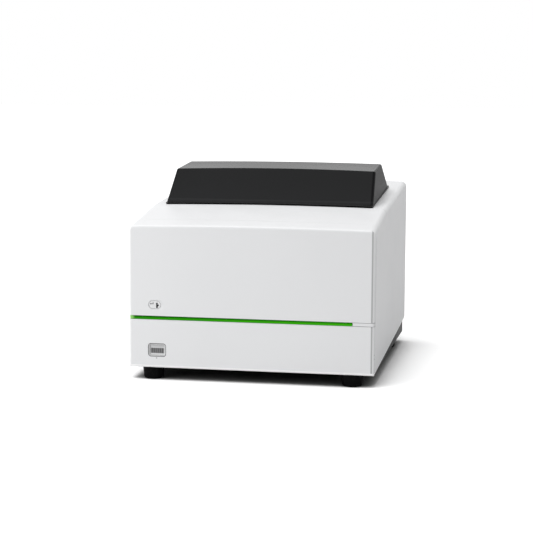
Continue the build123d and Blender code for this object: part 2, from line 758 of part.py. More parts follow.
def make_hood_hinge_brackets():
    y, z = hinge_axis()
    below = cover_mass(0)
    with BuildPart() as hood_hinge_brackets:
        for centre in (-hinge_x, hinge_x):
            half = hinge_knuckle / 2
            along_x(y, z, centre - half, centre + half, hinge_knuckle_radius)
            block((centre - half, centre + half), (y - 2, y + hinge_knuckle_radius), (z - 14, z))
            block((centre - 20, centre + 20), (y + hinge_knuckle_radius, y + 18), (z - 14, z - 2.5))
            block((centre - half, centre + half), (y, y + 6), (z - 14, z - 2.5))
            along_x(y, z, centre - half, centre + half, hinge_pin_radius + running_clearance, Mode.SUBTRACT)
        add(below, mode=Mode.SUBTRACT)
    finish(hood_hinge_brackets, "hood_hinge_brackets")


def make_hood_hinge_pins():
    y, z = hinge_axis()
    half = hinge_knuckle / 2 + part_clearance + hinge_leaf
    with BuildPart() as hood_hinge_pins:
        for centre in (-hinge_x, hinge_x):
            along_x(y, z, centre - half, centre + half, hinge_pin_radius)
    finish(hood_hinge_pins, "hood_hinge_pins")


def make_bay_seal():
    bay_middle = (bay_front_setback + bay_rear_setback) / 2
    bay_length = (bay_rear_setback - bay_front_setback) * hypot(1, rear_slope)
    below = cover_mass(0)
    above = cover_mass(seal_height)
    inner = coaming_wall
    outer = coaming_wall + seal_width
    with BuildPart() as bay_seal:
        with BuildSketch(slanted_plane(bay_middle).offset(-2)):
            RectangleRounded(2 * (bay_half + outer), bay_length + 2 * outer, bay_corner + outer)
            RectangleRounded(2 * (bay_half + inner), bay_length + 2 * inner, bay_corner + inner,
                             mode=Mode.SUBTRACT)
        extrude(amount=4 * seal_height)
        add(above, mode=Mode.INTERSECT)
        add(below, mode=Mode.SUBTRACT)
    finish(bay_seal, "bay_seal")


# ================================================================ tray, frame and feet
def make_base_tray():
    tray_width = 2 * inner_half
    tray_length = tray_rear - tray_front
    middle = (tray_front + tray_rear) / 2
    with BuildPart() as base_tray:
        with BuildSketch(Plane.XY.offset(foot_height)):
            with Locations((0, middle)):
                Rectangle(tray_width, tray_length)
        extrude(amount=tray_wall_height)
        fillet(base_tray.edges().filter_by(Axis.Z).group_by(Axis.Y)[-1], 6)
        with BuildSketch(Plane.XY.offset(floor_z)):
            with Locations((0, middle)):
                Rectangle(tray_width - 2 * sheet, tray_length - 2 * sheet)
        extrude(amount=tray_wall_height, mode=Mode.SUBTRACT)
        block((-inner_half + sheet, inner_half - sheet), (tray_front - 1, tray_front + sheet + 1),
              (foot_height + tray_front_wall, foot_height + tray_wall_height + 1), Mode.SUBTRACT)
    finish(base_tray, "base_tray")


def make_rubber_feet():
    places = []
    for side in (-1, 1):
        places.append((side * front_foot_x, front + front_foot_setback))
        places.append((side * rear_foot_x, front + rear_foot_setback))
    base = foot_radius - foot_taper
    with BuildPart() as rubber_feet:
        for x, y in places:
            with BuildSketch(Plane(origin=(x, y, 0), x_dir=(1, 0, 0), z_dir=(0, -1, 0))):
                with BuildLine():
                    Polyline((0, foot_dimple_depth), (foot_dimple, foot_dimple_depth), (foot_dimple, 0),
                             (base - foot_edge, 0))
                    TangentArc((base - foot_edge, 0), (base, foot_edge), tangent=(1, 0))
                    Polyline((base, foot_edge), (foot_radius, foot_height), (0, foot_height),
                             (0, foot_dimple_depth))
                make_face()
            revolve(axis=Axis((x, y, 0), (0, 0, 1)))
    finish(rubber_feet, "rubber_feet")


def make_frame_plate(node, side):
    inner_x = side * (frame_half - frame_plate)
    y_front = front + frame_front_setback
    y_rear = front + frame_rear_setback
    with BuildPart() as frame_side:
        with BuildSketch(Plane.YZ.offset(min(inner_x, side * frame_half))):
            with BuildLine():
                Polyline((trim_rear, deck_underside), (trim_rear, deck_underside - 40),
                         (y_front, strip_bottom), (y_front, floor_z), (y_rear, floor_z),
                         (y_rear, deck_underside), (trim_rear, deck_underside))
            make_face()
            with Locations(((y_front + y_rear) / 2, (floor_z + deck_underside) / 2)):
                with GridLocations(90, 0, 5, 1):
                    Circle(25, mode=Mode.SUBTRACT)
        extrude(amount=frame_plate)
    finish(frame_side, node)


def make_front_crossbar():
    inner_x = frame_half - frame_plate
    low = deck_underside - 40
    with BuildPart() as front_crossbar:
        with BuildSketch(Plane.YZ):
            with BuildLine():
                Polyline((trim_rear, low), (trim_rear + crossbar_depth, low),
                         (trim_rear + crossbar_depth, low + 3), (trim_rear + 3, low + 3),
                         (trim_rear + 3, deck_underside - 3), (trim_rear + crossbar_depth, deck_underside - 3),
                         (trim_rear + crossbar_depth, deck_underside), (trim_rear, deck_underside),
                         (trim_rear, low))
            make_face()
        extrude(amount=inner_x, both=True)
    finish(front_crossbar, "front_crossbar")


def make_optics_deck():
    y_front = front + frame_front_setback
    y_rear = front + frame_rear_setback
    with BuildPart() as optics_deck:
        with BuildSketch(Plane.XY.offset(deck_underside)):
            with Locations((0, (y_front + y_rear) / 2)):
                RectangleRounded(2 * frame_half, y_rear - y_front, 8)
            with Locations((0, optical_y)):
                Circle(objective_radius, mode=Mode.SUBTRACT)
            with Locations((0, turret_y)):
                Circle(turret_shaft_radius + 1, mode=Mode.SUBTRACT)
            with Locations((0, y_rear - 20)):
                with GridLocations(120, 0, 3, 1):
                    SlotOverall(50, 16, mode=Mode.SUBTRACT)
        extrude(amount=deck_thickness)
    finish(optics_deck, "optics_deck")


# ================================================================ plate conveyor
def make_conveyor_rails():
    with BuildPart() as conveyor_rails:
        for x in (-rail_x, rail_x):
            along_y(x, rail_z, front + rail_front_setback, front + rail_rear_setback, rail_radius)
    finish(conveyor_rails, "conveyor_rails")


def make_rail_supports():
    half = rail_block[0] / 2
    top = rail_z + half
    with BuildPart() as rail_supports:
        for x in (-rail_x, rail_x):
            starts = (front + rail_front_setback, front + rail_rear_setback - rail_block[1])
            for y in starts:
                with BuildSketch(Plane.XZ.offset(-y)):
                    with BuildLine():
                        Polyline((x - half, rail_z), (x - half, floor_z), (x + half, floor_z),
                                 (x + half, rail_z))
                        ThreePointArc((x + half, rail_z), (x, top), (x - half, rail_z))
                    make_face()
                    with Locations((x, rail_z)):
                        Circle(rail_radius, mode=Mode.SUBTRACT)
                extrude(amount=-rail_block[1])
    finish(rail_supports, "rail_supports")


def make_conveyor_carriage():
    plate_top = carriage_plate_z + carriage_plate
    with BuildPart() as conveyor_carriage:
        with BuildSketch(Plane.XY.offset(carriage_plate_z)):
            with Locations((0, (carriage_front + carriage_rear) / 2)):
                RectangleRounded(2 * carriage_half, carriage_length, 4)
                RectangleRounded(120, 40, 6, mode=Mode.SUBTRACT)
        extrude(amount=carriage_plate)
        block((belt_x - 8, -carriage_half + 4), (carriage_front + 20, carriage_rear - 20),
              (carriage_plate_z, plate_top))
        clamp_low = belt_z + pulley_radius + belt_thickness + part_clearance
        block((belt_x - 5, belt_x + 5), (carriage_front + 26, carriage_rear - 26),
              (clamp_low, carriage_plate_z))
        for x in (-rail_x, rail_x):
            block((x - saddle_width / 2, x + saddle_width / 2), (carriage_front, carriage_rear),
                  (rail_z - bushing_radius - 2, carriage_plate_z))
            along_y(x, rail_z, carriage_front, carriage_rear, bushing_radius, Mode.SUBTRACT)
        for x in (-carriage_half + 4, carriage_half - 4):
            block((x - 4, x + 4), (carriage_front, carriage_rear), (plate_top, cross_rod_z + 6))
        for y in (carriage_front + cross_rod_inset, carriage_rear - cross_rod_inset):
            along_x(y, cross_rod_z, -carriage_half, carriage_half, cross_rod_radius, Mode.SUBTRACT)
    finish(conveyor_carriage, "conveyor_carriage")


def make_carriage_bushings():
    with BuildPart() as carriage_bushings:
        for x in (-rail_x, rail_x):
            for start in (carriage_front, carriage_rear - bushing_length):
                along_y(x, rail_z, start, start + bushing_length, bushing_radius)
                along_y(x, rail_z, start, start + bushing_length, rail_radius + running_clearance,
                        Mode.SUBTRACT)
    finish(carriage_bushings, "carriage_bushings")


def make_cross_rods():
    with BuildPart() as cross_rods:
        for y in (carriage_front + cross_rod_inset, carriage_rear - cross_rod_inset):
            along_x(y, cross_rod_z, -carriage_half, carriage_half, cross_rod_radius)
    finish(cross_rods, "cross_rods")


def make_plate_carrier():
    nest_y = front + nest_centre_setback
    nest_rear = nest_y + nest_outer[1] / 2
    with BuildPart() as plate_carrier:
        with BuildSketch(Plane.XY.offset(slider_bottom)):
            with Locations((0, nest_y)):
                RectangleRounded(*nest_outer, 8)
            with BuildLine():
                Polyline((-nest_outer[0] / 2 + 8, nest_rear - 4), (nest_outer[0] / 2 - 8, nest_rear - 4),
                         (slider_half, carriage_front + slider_inset + 2),
                         (-slider_half, carriage_front + slider_inset + 2),
                         (-nest_outer[0] / 2 + 8, nest_rear - 4))
            make_face()
        extrude(amount=nest_top - slider_bottom)
        block((-slider_half, slider_half), (carriage_front + slider_inset, carriage_rear - slider_inset),
              (slider_bottom, slider_top))
        with BuildSketch(Plane.XY.offset(slider_bottom + nest_floor)):
            with Locations((0, nest_y)):
                RectangleRounded(*nest_plate, 3)
        extrude(amount=slider_top, mode=Mode.SUBTRACT)
        with BuildSketch(Plane.XY.offset(slider_bottom - 1)):
            with Locations((0, nest_y)):
                RectangleRounded(nest_plate[0] - 2 * nest_ledge, nest_plate[1] - 2 * nest_ledge, 3)
        extrude(amount=slider_top, mode=Mode.SUBTRACT)
        for y in (carriage_front + cross_rod_inset, carriage_rear - cross_rod_inset):
            along_x(y, cross_rod_z, -slider_half, slider_half, cross_rod_radius + running_clearance,
                    Mode.SUBTRACT)
    finish(plate_carrier, "plate_carrier")


def make_drive_motor():
    y = front + drive_pulley_setback
    face_x = belt_x - pulley_width / 2 - 6
    with BuildPart() as drive_motor:
        block((face_x - motor_length, face_x), (y - motor_size / 2, y + motor_size / 2),
              (belt_z - motor_size / 2, belt_z + motor_size / 2))
        chamfer(drive_motor.edges().filter_by(Axis.X), 3)
        block((face_x - motor_length, face_x), (y - motor_size / 2 + 4, y + motor_size / 2 - 4),
              (floor_z, belt_z - motor_size / 2 + 1))
        along_x(y, belt_z, face_x - 20, face_x, pulley_shaft_radius + running_clearance, Mode.SUBTRACT)
    finish(drive_motor, "drive_motor")


def make_drive_pulley():
    y = front + drive_pulley_setback
    half = pulley_width / 2
    with BuildPart() as drive_pulley:
        along_x(y, belt_z, belt_x - half, belt_x + half, pulley_radius - 0.3)
        with BuildSketch(Plane.YZ.offset(belt_x - half)):
            with Locations((y, belt_z)):
                with PolarLocations(pulley_radius - 0.3, 18):
                    Circle(0.7, mode=Mode.ADD)
        extrude(amount=pulley_width, mode=Mode.SUBTRACT)
        along_x(y, belt_z, belt_x - half - 1.5, belt_x - half, pulley_radius + 2.5)
        along_x(y, belt_z, belt_x + half, belt_x + half + 1.5, pulley_radius + 2.5)
        along_x(y, belt_z, belt_x - half - 6 - 18, belt_x + half + 1.5, pulley_shaft_radius)
    finish(drive_pulley, "drive_pulley")


def make_idler_pulley():
    y = front + idler_pulley_setback
    half = pulley_width / 2
    with BuildPart() as idler_pulley:
        along_x(y, belt_z, belt_x - half, belt_x + half, pulley_radius - 0.3)
        along_x(y, belt_z, belt_x - half - 1.5, belt_x - half, pulley_radius + 2.5)
        along_x(y, belt_z, belt_x + half, belt_x + half + 1.5, pulley_radius + 2.5)
        along_x(y, belt_z, belt_x - half - 2, belt_x + half + 2, pulley_shaft_radius + running_clearance,
                Mode.SUBTRACT)
    finish(idler_pulley, "idler_pulley")


def make_idler_bracket():
    y = front + idler_pulley_setback
    half = pulley_width / 2
    left = belt_x - half - 6
    with BuildPart() as idler_bracket:
        block((left - 4, left), (y - 10, y + 10), (floor_z, belt_z + 10))
        block((left - 4, belt_x - half - 2), (y - 14, y + 14), (floor_z, floor_z + 4))
        along_x(y, belt_z, left, belt_x + half + 3, pulley_shaft_radius)
        along_x(y, belt_z, belt_x + half + 2, belt_x + half + 4, pulley_shaft_radius + 1.5)
    finish(idler_bracket, "idler_bracket")


def make_drive_belt():
    start = front + idler_pulley_setback
    end = front + drive_pulley_setback
    with BuildPart() as drive_belt:
        with BuildSketch(Plane.YZ.offset(belt_x - belt_width / 2)):
            with Locations(((start + end) / 2, belt_z)):
                outer = pulley_radius + belt_thickness
                SlotCenterToCenter(end - start, 2 * outer)
                SlotCenterToCenter(end - start, 2 * pulley_radius, mode=Mode.SUBTRACT)
        extrude(amount=belt_width)
    finish(drive_belt, "drive_belt")


# ================================================================ optics
def make_objective_barrel():
    with BuildPart() as objective_barrel:
        with BuildSketch(Plane.XZ.offset(-optical_y)):
            with BuildLine():
                Polyline((5, objective_bottom), (10, objective_bottom), (objective_radius, objective_bottom + 22),
                         (objective_radius, deck_top), (objective_radius + 5, deck_top),
                         (objective_radius + 5, deck_top + 3), (8, deck_top + 3), (8, objective_bottom + 16),
                         (5, objective_bottom))
            make_face()
        revolve(axis=Axis((0, optical_y, 0), (0, 0, 1)))
    finish(objective_barrel, "objective_barrel")


def make_turret_bearing():
    with BuildPart() as turret_bearing:
        with BuildSketch(Plane.XY.offset(deck_top)):
            with Locations((0, turret_y)):
                Circle(turret_bearing_radius)
                Circle(turret_shaft_radius + running_clearance, mode=Mode.SUBTRACT)
        extrude(amount=turret_disc_z - deck_top - part_clearance)
        block((-60, 60), (turret_y - 60, optical_y + objective_radius + 6), (deck_top, turret_disc_z),
              Mode.SUBTRACT)
    finish(turret_bearing, "turret_bearing")


def make_turret_motor():
    half = motor_size / 2
    with BuildPart() as turret_motor:
        block((-half, half), (turret_y - half + 5, turret_y + half + 5),
              (deck_underside - 38, deck_underside))
        chamfer(turret_motor.edges().filter_by(Axis.Z), 3)
        with Locations((0, turret_y, deck_underside - 10)):
            Cylinder(turret_shaft_radius + running_clearance, 20, mode=Mode.SUBTRACT)
    finish(turret_motor, "turret_motor")


def make_mirror_turret():
    with BuildPart() as mirror_turret:
        with BuildSketch(Plane.XY.offset(turret_disc_z)):
            with Locations((0, turret_y)):
                Circle(turret_radius)
                with PolarLocations(turret_offset, module_count):
                    Circle(10, mode=Mode.SUBTRACT)
        extrude(amount=turret_disc)
        with Locations((0, turret_y, (deck_underside - 18 + turret_disc_z) / 2)):
            Cylinder(turret_shaft_radius, turret_disc_z - deck_underside + 18)
        with Locations((0, turret_y, turret_disc_z + turret_disc + module_height / 2)):
            Cylinder(9, module_height)
    finish(mirror_turret, "mirror_turret")


def make_mirror_module(number):
    angle = number * 360 / module_count - 90
    low = turret_disc_z + turret_disc
    half = module_side / 2
    start = turret_offset - half
    outward = (cos(radians(angle)), sin(radians(angle)), 0)
    plane = Plane(origin=(0, turret_y, 0), x_dir=outward, z_dir=(0, 0, 1))
    with BuildPart() as mirror_module:
        with BuildSketch(plane.offset(low)):
            with Locations((turret_offset, 0)):
                RectangleRounded(module_side, module_side, 3)
        extrude(amount=module_height)
        with BuildSketch(plane.offset(low - 1)):
            Circle(9.4)
        extrude(amount=module_height + 2, mode=Mode.SUBTRACT)
        with BuildSketch(plane.offset(low + module_height)):
            with Locations((turret_offset + 2, 0)):
                RectangleRounded(8, 22, 3)
        extrude(amount=14)
        port = Plane(origin=plane.from_local_coords(Vector(turret_offset, -half - 1, filter_z)),
                     x_dir=plane.x_dir, z_dir=plane.y_dir)
        with BuildSketch(port):
            Circle(8)
        extrude(amount=module_side + 2, mode=Mode.SUBTRACT)
        with BuildSketch(plane.offset(low)):
            with Locations((turret_offset, 0)):
                Circle(8)
        extrude(amount=filter_z - low, mode=Mode.SUBTRACT)
    finish(mirror_module, f"mirror_module_{number + 1}")


def make_filter_guide(node, side):
    centre = side * slide_x
    half = slide_thickness / 2 + part_clearance
    y = (optical_y - guide_length / 2, optical_y + guide_length / 2)
    with BuildPart() as filter_guide:
        with BuildSketch(Plane.XZ.offset(-y[0])):
            with BuildLine():
                outer = half + guide_wall
                Polyline((centre - outer, deck_top), (centre + outer, deck_top), (centre + outer, guide_top),
                         (centre + half, guide_top), (centre + half, slide_bottom - part_clearance),
                         (centre - half, slide_bottom - part_clearance), (centre - half, guide_top),
                         (centre - outer, guide_top), (centre - outer, deck_top))
            make_face()
        extrude(amount=y[0] - y[1])
    finish(filter_guide, node)


def make_filter_slide(node, side):
    centre = side * slide_x
    low = slide_bottom
    with BuildPart() as filter_slide:
        with BuildSketch(Plane.YZ.offset(centre - slide_thickness / 2)):
            with Locations((optical_y, low + slide_height / 2)):
                RectangleRounded(slide_length, slide_height, 4)
            with Locations((optical_y, filter_z)):
                with GridLocations(filter_pitch, 0, filter_count, 1):
                    Circle(filter_radius, mode=Mode.SUBTRACT)
        extrude(amount=slide_thickness)
        with BuildSketch(Plane.YZ.offset(centre - slide_thickness / 2)):
            with Locations((optical_y, low + slide_height + 5)):
                RectangleRounded(36, 16, 4)
        extrude(amount=slide_thickness)
    finish(filter_slide, node)


def make_filters(node, side):
    centre = side * slide_x
    with BuildPart() as filters:
        with BuildSketch(Plane.YZ.offset(centre - 2.5)):
            with Locations((optical_y, filter_z)):
                with GridLocations(filter_pitch, 0, filter_count, 1):
                    Circle(filter_radius)
        extrude(amount=5)
    finish(filters, node)


def make_flash_lamp_housing():
    right = -slide_x - 13
    left = right - lamp_size[0]
    top = deck_top + lamp_size[2]
    with BuildPart() as flash_lamp_housing:
        block((left, right), (optical_y - lamp_size[1] / 2, optical_y + lamp_size[1] / 2), (deck_top, top))
        fillet(flash_lamp_housing.edges().filter_by(Axis.Z), 5)
        with BuildSketch(Plane.XZ.offset(-optical_y)):
            with Locations(((left + right) / 2, top)):
                with GridLocations(11, 0, lamp_fins, 1):
                    Rectangle(6, 44)
        extrude(amount=lamp_size[1], both=True, mode=Mode.SUBTRACT)
        along_x(optical_y, filter_z, right - 2, -slide_x - slide_thickness / 2 - 2, 12)
        along_x(optical_y, filter_z, right - 20, -slide_x, 8, Mode.SUBTRACT)
    finish(flash_lamp_housing, "flash_lamp_housing")


def make_detector_housing():
    left = slide_x + 13
    right = left + detector_length
    with BuildPart() as detector_housing:
        along_x(optical_y, filter_z, left, right, detector_radius)
        fillet(detector_housing.edges().sort_by(Axis.X)[-1], 5)
        with BuildSketch(Plane.YZ.offset(left + 10)):
            with BuildLine():
                Polyline((optical_y - 34, deck_top), (optical_y + 34, deck_top),
                         (optical_y + detector_radius - 2, filter_z), (optical_y - detector_radius + 2, filter_z),
                         (optical_y - 34, deck_top))
            make_face()
        extrude(amount=detector_length - 20)
        along_x(optical_y, filter_z, slide_x + slide_thickness / 2 + 2, left + 1, 12)
        along_x(optical_y, filter_z, slide_x, left + 20, 8, Mode.SUBTRACT)
    finish(detector_housing, "detector_housing")


def make_laser_module():
    left = -slide_x - 13 - lamp_size[0]
    y = turret_y + turret_radius + 12
    with BuildPart() as laser_module:
        block((left, left + laser_size[0]), (y, y + laser_size[1]), (deck_top, deck_top + laser_size[2]))
        fillet(laser_module.edges().filter_by(Axis.Z), 6)
        chamfer(laser_module.faces().sort_by(Axis.Z)[-1].edges(), 2)
    finish(laser_module, "laser_module")


# ================================================================ rear services
def make_mains_inlet():
    with BuildPart() as mains_inlet:
        with BuildSketch(Plane.XZ.offset(-tray_rear)):
            with Locations((inlet_x, inlet_z)):
                Rectangle(*inlet_body)
        extrude(amount=-rear_panel_wall)
        with BuildSketch(Plane.XZ.offset(-tray_rear)):
            with Locations((inlet_x, inlet_z)):
                RectangleRounded(*inlet_flange, 4)
        extrude(amount=20)
        with BuildSketch(Plane.XZ.offset(-panel_rear)):
            with Locations((inlet_x, inlet_z)):
                RectangleRounded(*inlet_mouth, 3)
        extrude(amount=inlet_depth, mode=Mode.SUBTRACT)
        for x, z in ((-7, 2), (7, 2), (0, -3)):
            block((inlet_x + x - 1, inlet_x + x + 1), (panel_rear - inlet_depth - 1, panel_rear - 5),
                  (inlet_z + z - 2, inlet_z + z + 2))
    finish(mains_inlet, "mains_inlet")


def make_cooling_fan_frame():
    y = (tray_rear - fan_depth, tray_rear)
    with BuildPart() as cooling_fan_frame:
        with BuildSketch(Plane.XZ.offset(-y[0])):
            with Locations((fan_x, fan_z)):
                RectangleRounded(fan_size, fan_size, 5)
                Circle(fan_bore + 1, mode=Mode.SUBTRACT)
        extrude(amount=-fan_depth)
        with BuildSketch(Plane.XZ.offset(-y[0])):
            with Locations((fan_x, fan_z)):
                Circle(fan_hub)
                Rectangle(2 * fan_bore + 4, 5)
                Rectangle(5, 2 * fan_bore + 4)
        extrude(amount=-4)
        along_y(fan_x, fan_z, y[0], y[1] - 6, 2)
    finish(cooling_fan_frame, "cooling_fan_frame")


def make_cooling_fan_rotor():
    y = (tray_rear - fan_depth + 5, tray_rear - 4)
    with BuildPart() as cooling_fan_rotor:
        along_y(fan_x, fan_z, y[0], y[1], fan_hub)
        pitch = 360 / fan_blades
        for number in range(fan_blades):
            turn = radians(number * pitch)
            outward = (cos(turn), 0, sin(turn))
            base = Plane(origin=(fan_x, (y[0] + y[1]) / 2, fan_z), x_dir=(0, 1, 0), z_dir=outward)
            with BuildSketch(base.offset(fan_hub - 2)):
                Rectangle(15, 2, rotation=28)
            with BuildSketch(base.offset(fan_bore - 1)):
                Rectangle(15, 2, rotation=48)
            loft()
        along_y(fan_x, fan_z, y[0] - 1, y[1] - 1, 2 + running_clearance, Mode.SUBTRACT)
    finish(cooling_fan_rotor, "cooling_fan_rotor")


def make_power_supply():
    left = -frame_half + frame_plate + 6
    y_rear = tray_rear - 28
    with BuildPart() as power_supply:
        block((left, left + supply_size[0]), (y_rear - supply_size[1] + 30, y_rear),
              (floor_z, floor_z + supply_size[2]))
        with BuildSketch(Plane.XY.offset(floor_z + supply_size[2])):
            with Locations((left + supply_size[0] / 2, y_rear - supply_size[1] / 2 + 15)):
                with GridLocations(9, 0, 11, 1):
                    SlotOverall(46, 4, rotation=90)
        extrude(amount=-1.5, mode=Mode.SUBTRACT)
    finish(power_supply, "power_supply")


def make_controller_board():
    x = (20.0, 20.0 + board_size[0])
    y = (tray_rear - 20 - board_size[1], tray_rear - 20)
    board_z = floor_z + 8
    with BuildPart() as controller_board:
        block(x, y, (board_z, board_z + 1.6))
        with BuildSketch(Plane.XY.offset(floor_z)):
            with Locations(((x[0] + x[1]) / 2, (y[0] + y[1]) / 2)):
                with GridLocations(board_size[0] - 12, board_size[1] - 12, 2, 2):
                    Circle(3)
        extrude(amount=8)
        with BuildSketch(Plane.XY.offset(board_z + 1.6)):
            with Locations((x[0] + 40, y[0] + 40)):
                Rectangle(30, 30)
            with Locations((x[0] + 95, y[0] + 40)):
                with GridLocations(0, 18, 1, 3):
                    Rectangle(22, 10)
            with Locations((x[1] - 14, (y[0] + y[1]) / 2)):
                Rectangle(10, 60)
        extrude(amount=5)
    finish(controller_board, "controller_board")


make_front_panel_upper()
make_front_top_cover()
make_rear_top_cover()
make_side_panel("side_panel_left", -1)
make_side_panel("side_panel_right", 1)
make_rear_panel()
make_rear_panel_screws()
make_plate_door()
make_door_hinge_brackets()
make_door_hinge_pins()
make_strip_trim()
make_light_strip()
make_power_switch_body()
make_power_rocker()
make_load_button()
make_button_board()
make_optics_hood()
make_hood_hinge_leaves()
make_hood_hinge_brackets()
make_hood_hinge_pins()
make_bay_seal()
make_base_tray()
make_rubber_feet()
make_frame_plate("frame_plate_left", -1)
make_frame_plate("frame_plate_right", 1)
make_front_crossbar()
make_optics_deck()
make_conveyor_rails()
make_rail_supports()
make_conveyor_carriage()
make_carriage_bushings()
make_cross_rods()
make_plate_carrier()
make_drive_motor()
make_drive_pulley()
make_idler_pulley()
make_idler_bracket()
make_drive_belt()
make_objective_barrel()
make_turret_bearing()
make_turret_motor()
make_mirror_turret()
for module_number in range(module_count):
    make_mirror_module(module_number)
make_filter_guide("excitation_guide", -1)
make_filter_guide("emission_guide", 1)
make_filter_slide("excitation_filter_slide", -1)
make_filter_slide("emission_filter_slide", 1)
make_filters("excitation_filters", -1)
make_filters("emission_filters", 1)
make_flash_lamp_housing()
make_detector_housing()
make_laser_module()
make_mains_inlet()
make_cooling_fan_frame()
make_cooling_fan_rotor()
make_power_supply()
make_controller_board()
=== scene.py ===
import json
import math

import bmesh
import bpy
from mathutils import Matrix, Vector


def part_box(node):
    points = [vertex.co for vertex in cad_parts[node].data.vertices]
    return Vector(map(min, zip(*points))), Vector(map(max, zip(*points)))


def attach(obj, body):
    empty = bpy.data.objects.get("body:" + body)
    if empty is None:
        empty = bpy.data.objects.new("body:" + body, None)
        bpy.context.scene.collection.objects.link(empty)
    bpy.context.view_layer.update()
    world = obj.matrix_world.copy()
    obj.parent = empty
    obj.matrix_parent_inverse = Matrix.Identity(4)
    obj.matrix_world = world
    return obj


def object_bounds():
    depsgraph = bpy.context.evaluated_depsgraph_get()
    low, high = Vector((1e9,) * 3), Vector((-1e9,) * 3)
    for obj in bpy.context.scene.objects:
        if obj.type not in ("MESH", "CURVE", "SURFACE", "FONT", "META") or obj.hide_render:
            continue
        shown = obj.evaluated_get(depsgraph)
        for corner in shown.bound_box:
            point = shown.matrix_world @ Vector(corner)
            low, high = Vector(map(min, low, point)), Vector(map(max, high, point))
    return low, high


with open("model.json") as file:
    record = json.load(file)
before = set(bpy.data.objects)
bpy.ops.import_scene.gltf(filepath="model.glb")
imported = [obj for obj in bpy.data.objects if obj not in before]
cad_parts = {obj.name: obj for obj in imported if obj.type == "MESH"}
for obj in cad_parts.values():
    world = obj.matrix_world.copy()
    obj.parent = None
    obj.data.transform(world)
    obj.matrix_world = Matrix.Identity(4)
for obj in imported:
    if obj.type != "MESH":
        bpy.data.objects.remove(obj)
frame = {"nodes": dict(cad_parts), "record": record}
cad_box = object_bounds()

MM = 0.001

# ---------------------------------------------------------------- places read from the frame
(LEFT, FRONT, _), (RIGHT, _, _) = cad_box
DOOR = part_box("plate_door")
FRONT_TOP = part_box("front_top_cover")
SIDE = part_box("side_panel_right")
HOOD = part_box("optics_hood")
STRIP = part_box("light_strip")
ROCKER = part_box("power_rocker")
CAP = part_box("load_button")
CREASE = FRONT_TOP[1][1]

# ---------------------------------------------------------------- node helpers


def new_material(name):
    material = bpy.data.materials.new(name)
    material.use_nodes = True
    return material, material.node_tree, material.node_tree.nodes["Principled BSDF"]


def noise(tree, scale, detail=3.0, stretch=(1.0, 1.0, 1.0), roughness=0.5):
    """Noise in the object's own metres."""
    place = tree.nodes.new("ShaderNodeTexCoord")
    mapping = tree.nodes.new("ShaderNodeMapping")
    mapping.inputs["Scale"].default_value = stretch
    texture = tree.nodes.new("ShaderNodeTexNoise")
    texture.inputs["Scale"].default_value = scale
    texture.inputs["Detail"].default_value = detail
    texture.inputs["Roughness"].default_value = roughness
    tree.links.new(place.outputs["Object"], mapping.inputs["Vector"])
    tree.links.new(mapping.outputs["Vector"], texture.inputs["Vector"])
    return texture.outputs["Fac"]


def ramp(tree, source, stops):
    """Colour ramp with stops of (place, colour)."""
    node = tree.nodes.new("ShaderNodeValToRGB")
    elements = node.color_ramp.elements
    while len(elements) < len(stops):
        elements.new(0.5)
    for element, (place, colour) in zip(elements, stops):
        element.position = place
        element.color = (*colour, 1.0)
    tree.links.new(source, node.inputs["Fac"])
    return node.outputs["Color"]


def spread(tree, source, low, high, cut=(0.3, 0.7)):
    """Maps a value from one range to another, with soft ends."""
    node = tree.nodes.new("ShaderNodeMapRange")
    node.interpolation_type = "SMOOTHSTEP"
    node.inputs["From Min"].default_value = cut[0]
    node.inputs["From Max"].default_value = cut[1]
    node.inputs["To Min"].default_value = low
    node.inputs["To Max"].default_value = high
    tree.links.new(source, node.inputs["Value"])
    return node.outputs["Result"]


def math_node(tree, operation, first, second=None):
    node = tree.nodes.new("ShaderNodeMath")
    node.operation = operation
    for socket, value in zip(node.inputs, (first, second)):
        if value is None:
            continue
        if isinstance(value, (int, float)):
            socket.default_value = value
        else:
            tree.links.new(value, socket)
    return node.outputs[0]


def along(tree, direction, offset=0.0):
    """Distance along a direction of the object's own metres, from an offset."""
    place = tree.nodes.new("ShaderNodeTexCoord")
    dot = tree.nodes.new("ShaderNodeVectorMath")
    dot.operation = "DOT_PRODUCT"
    tree.links.new(place.outputs["Object"], dot.inputs[0])
    dot.inputs[1].default_value = direction
    return math_node(tree, "SUBTRACT", dot.outputs["Value"], offset)


def band(tree, source, centre, half, soft):
    """1 within a band and 0 away from it."""
    away = math_node(tree, "ABSOLUTE", math_node(tree, "SUBTRACT", source, centre))
    return spread(tree, away, 1.0, 0.0, (half, half + soft))


def both(tree, *masks):
    result = masks[0]
    for mask in masks[1:]:
        result = math_node(tree, "MULTIPLY", result, mask)
    return result


def tint(tree, colour, mask, other):
    """Colour mixed towards another where the mask is 1."""
    node = tree.nodes.new("ShaderNodeMix")
    node.data_type = "RGBA"
    tree.links.new(mask, node.inputs["Factor"])
    tree.links.new(colour, node.inputs["A"])
    node.inputs["B"].default_value = (*other, 1.0)
    return node.outputs["Result"]


def bump(tree, shader, height, strength, distance):
    node = tree.nodes.new("ShaderNodeBump")
    node.inputs["Strength"].default_value = strength
    node.inputs["Distance"].default_value = distance
    tree.links.new(height, node.inputs["Height"])
    tree.links.new(node.outputs["Normal"], shader.inputs["Normal"])


def shade(colour, factor):
    return tuple(min(1.0, channel * factor) for channel in colour)


